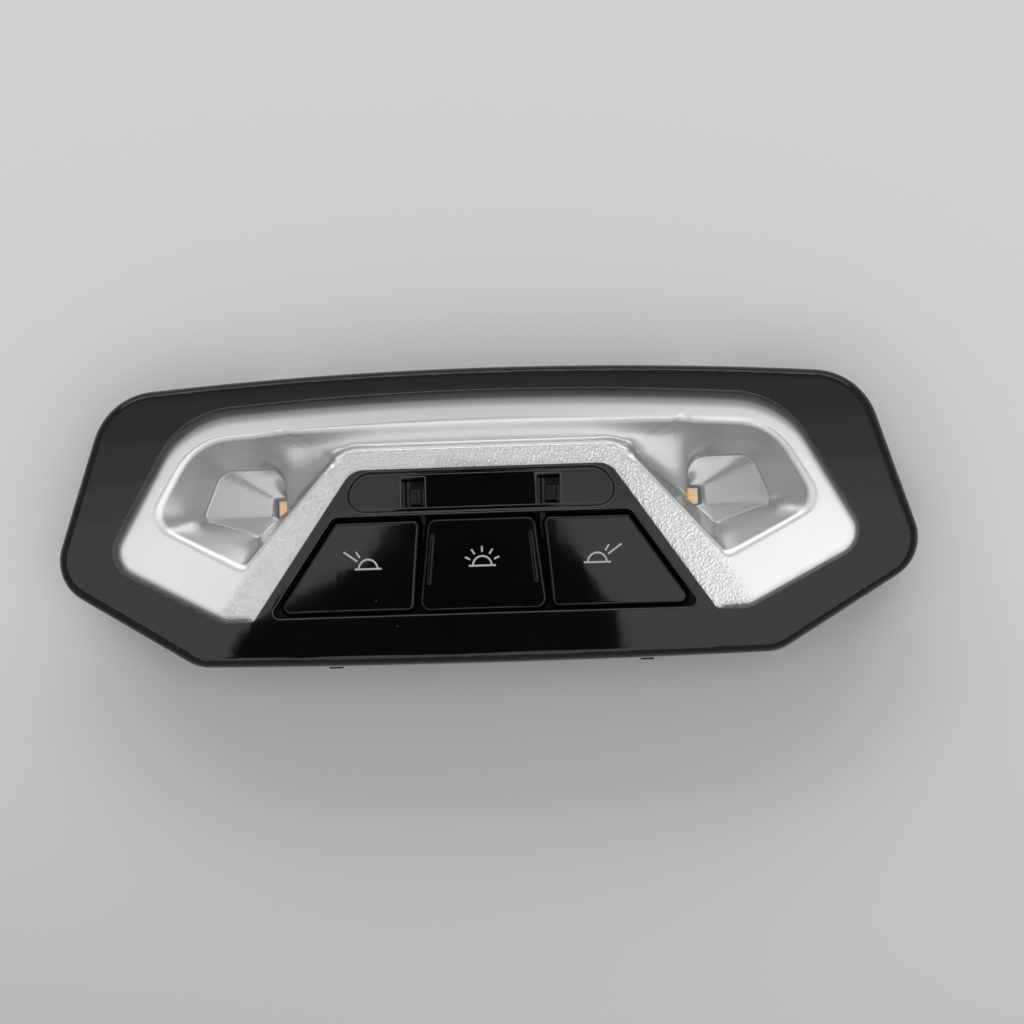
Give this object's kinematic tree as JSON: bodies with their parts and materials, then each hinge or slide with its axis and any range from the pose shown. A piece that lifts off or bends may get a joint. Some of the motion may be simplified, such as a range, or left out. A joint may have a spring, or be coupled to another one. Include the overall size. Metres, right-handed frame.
{
  "type": "interior reading light",
  "caption": "Roof-mounted interior reading light: gloss black bezel, clear window over a silver reflector with reading LEDs, and rocking push buttons with lamp pictograms.",
  "frame": {"origin": "middle of the outline, on the plane of the rear housing's back face", "axes": "+X along the width, to the right seen from the front; +Y from the button side to the plain side; +Z out of the front face"},
  "size_m": [0.1918, 0.0654, 0.0264],
  "materials": {
    "bezel_black": "polished piano black",
    "clear_plastic": "clear, polished",
    "silver_lacquer": "satin silver lacquer, fine grain beside the buttons",
    "cover_black": "polished",
    "guide_grey": "translucent",
    "button_black": "polished",
    "pictogram_white": "translucent white",
    "frame_black": "moulded",
    "board_green": "solder resist",
    "led_white": "moulded",
    "led_orange": "phosphor, unlit",
    "switch_black": "moulded",
    "chip_black": "moulded",
    "component_ceramic": "fired",
    "connector_plastic": "moulded",
    "pin_brass": "plated",
    "housing_grey": "fine spark texture",
    "clip_steel": "spring steel strip",
    "screw_steel": "zinc plated"
  },
  "bodies": {
    "unit": {"front_bezel": "bezel_black", "clear_window": "clear_plastic", "reflector_trim": "silver_lacquer", "strip_cover": "cover_black", "left_light_guide": "guide_grey", "right_light_guide": "guide_grey", "button_frame": "frame_black", "circuit_board": "board_green", "left_led_body": "led_white", "right_led_body": "led_white", "left_led_face": "led_orange", "right_led_face": "led_orange", "left_ambient_led": "led_white", "right_ambient_led": "led_white", "left_backlight_led": "led_white", "centre_backlight_led": "led_white", "right_backlight_led": "led_white", "left_push_switch": "switch_black", "centre_push_switch": "switch_black", "right_push_switch": "switch_black", "driver_chip": "chip_black", "board_components": "component_ceramic", "connector_shell": "connector_plastic", "connector_pins": "pin_brass", "rear_housing": "housing_grey", "left_spring_clip": "clip_steel", "right_spring_clip": "clip_steel", "left_wing_screw": "screw_steel", "right_wing_screw": "screw_steel", "left_lower_screw": "screw_steel", "right_lower_screw": "screw_steel"},
    "left_key": {"left_button": "button_black", "left_pictogram": "pictogram_white"},
    "centre_key": {"centre_button": "button_black", "centre_pictogram": "pictogram_white"},
    "right_key": {"right_button": "button_black", "right_pictogram": "pictogram_white"}
  },
  "joints": [
    {"name": "left_button_press", "type": "hinge", "parent": "unit", "child": "left_key", "pos_m": [-0.0238, -0.0029, 0.0214], "axis": [1, 0, 0], "range_deg": [0, 2.2], "stiffness_Nm_per_rad": 0.4, "springref_deg": -1.15},
    {"name": "centre_button_press", "type": "hinge", "parent": "unit", "child": "centre_key", "pos_m": [0, -0.0029, 0.0214], "axis": [1, 0, 0], "range_deg": [0, 2.2], "stiffness_Nm_per_rad": 0.4, "springref_deg": -1.15},
    {"name": "right_button_press", "type": "hinge", "parent": "unit", "child": "right_key", "pos_m": [0.0238, -0.0029, 0.0214], "axis": [1, 0, 0], "range_deg": [0, 2.2], "stiffness_Nm_per_rad": 0.4, "springref_deg": -1.15}
  ]
}
